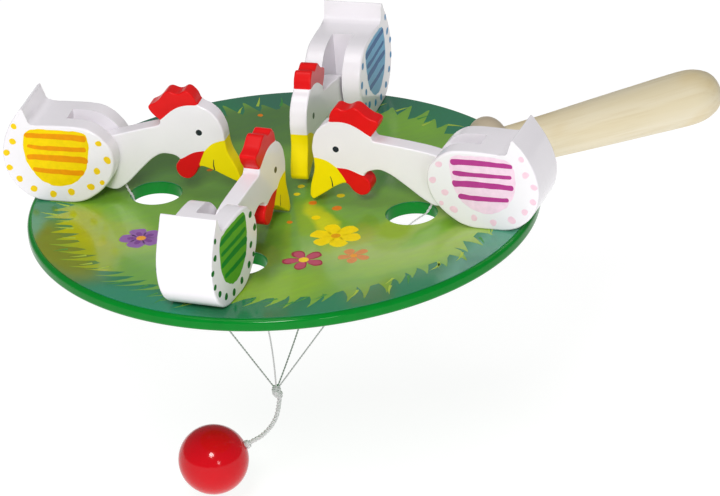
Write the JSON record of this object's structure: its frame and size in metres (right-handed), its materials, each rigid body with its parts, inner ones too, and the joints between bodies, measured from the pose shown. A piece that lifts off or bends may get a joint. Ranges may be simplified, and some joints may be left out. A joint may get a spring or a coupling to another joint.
{
  "type": "pecking hens paddle toy",
  "caption": "Round painted board on a turned handle; hens round its rim peck in turn as a ball swings on strings beneath.",
  "frame": {"origin": "on the handle's axis, where the hand grips it, 130 mm from the board's centre", "axes": "+X along the handle away from the board, +Z square to the board on its printed side"},
  "size_m": [0.2603, 0.18, 0.1536],
  "materials": {
    "green_paint": "gloss",
    "meadow_print": "satin",
    "bare_wood": "satin",
    "white_paint": "gloss",
    "head_paint": "gloss",
    "red_paint": "gloss",
    "string": "matt",
    "steel": "satin"
  },
  "bodies": {
    "board_and_hens": {"board": "green_paint", "print_sheet": "meadow_print", "handle": "bare_wood", "hen_screws": "steel", "right_cheek_a": "white_paint", "right_cheek_b": "white_paint", "right_core": "white_paint", "right_pin": "steel", "right_string": "string", "back_cheek_a": "white_paint", "back_cheek_b": "white_paint", "back_core": "white_paint", "back_pin": "steel", "back_string": "string", "left_cheek_a": "white_paint", "left_cheek_b": "white_paint", "left_core": "white_paint", "left_pin": "steel", "left_string": "string", "front_cheek_a": "white_paint", "front_cheek_b": "white_paint", "front_core": "white_paint", "front_pin": "steel", "front_string": "string"},
    "right_head": {"right_head": "head_paint", "right_tie": "string"},
    "back_head": {"back_head": "head_paint", "back_tie": "string"},
    "left_head": {"left_head": "head_paint", "left_tie": "string"},
    "front_head": {"front_head": "head_paint", "front_tie": "string"},
    "knot": {"gather_knot": "string"},
    "hitch": {"cord_hitch": "string"},
    "ball_on_cord": {"pull_cord": "string", "ball": "red_paint", "ball_collar": "string"}
  },
  "joints": [
    {"name": "right_peck", "type": "hinge", "parent": "board_and_hens", "child": "right_head", "pos_m": [-0.08489, -0.0389, 0.0151], "axis": [0.7028, 0.7114, 0], "range_deg": [0, 22]},
    {"name": "back_peck", "type": "hinge", "parent": "board_and_hens", "child": "back_head", "pos_m": [-0.0878, 0.04379, 0.0125], "axis": [-0.7541, 0.6567, 0], "range_deg": [0, 22]},
    {"name": "left_peck", "type": "hinge", "parent": "board_and_hens", "child": "left_head", "pos_m": [-0.17787, 0.04268, 0.0137], "axis": [-0.6749, -0.7379, 0], "range_deg": [0, 22]},
    {"name": "front_peck", "type": "hinge", "parent": "board_and_hens", "child": "front_head", "pos_m": [-0.1689, -0.03801, 0.0151], "axis": [0.6737, -0.739, 0], "range_deg": [0, 22]},
    {"name": "string_pull", "type": "slide", "parent": "board_and_hens", "child": "knot", "axis": [0, 0, -1], "range_m": [0, 0.008]},
    {"name": "swing_side", "type": "hinge", "parent": "knot", "child": "hitch", "pos_m": [-0.13736, 0.00314, -0.0704], "axis": [-0.3923, -0.9198, 0], "range_deg": [-10, 90]},
    {"name": "swing_depth", "type": "hinge", "parent": "hitch", "child": "ball_on_cord", "pos_m": [-0.13736, 0.00314, -0.0704], "axis": [0.6648, -0.2835, -0.6912], "range_deg": [-50, 50]}
  ],
  "couplings": [
    {"joint": "right_peck", "follows": "string_pull", "rad_per_m": 47.9},
    {"joint": "back_peck", "follows": "string_pull", "rad_per_m": 47.9},
    {"joint": "left_peck", "follows": "string_pull", "rad_per_m": 47.9},
    {"joint": "front_peck", "follows": "string_pull", "rad_per_m": 47.9}
  ]
}
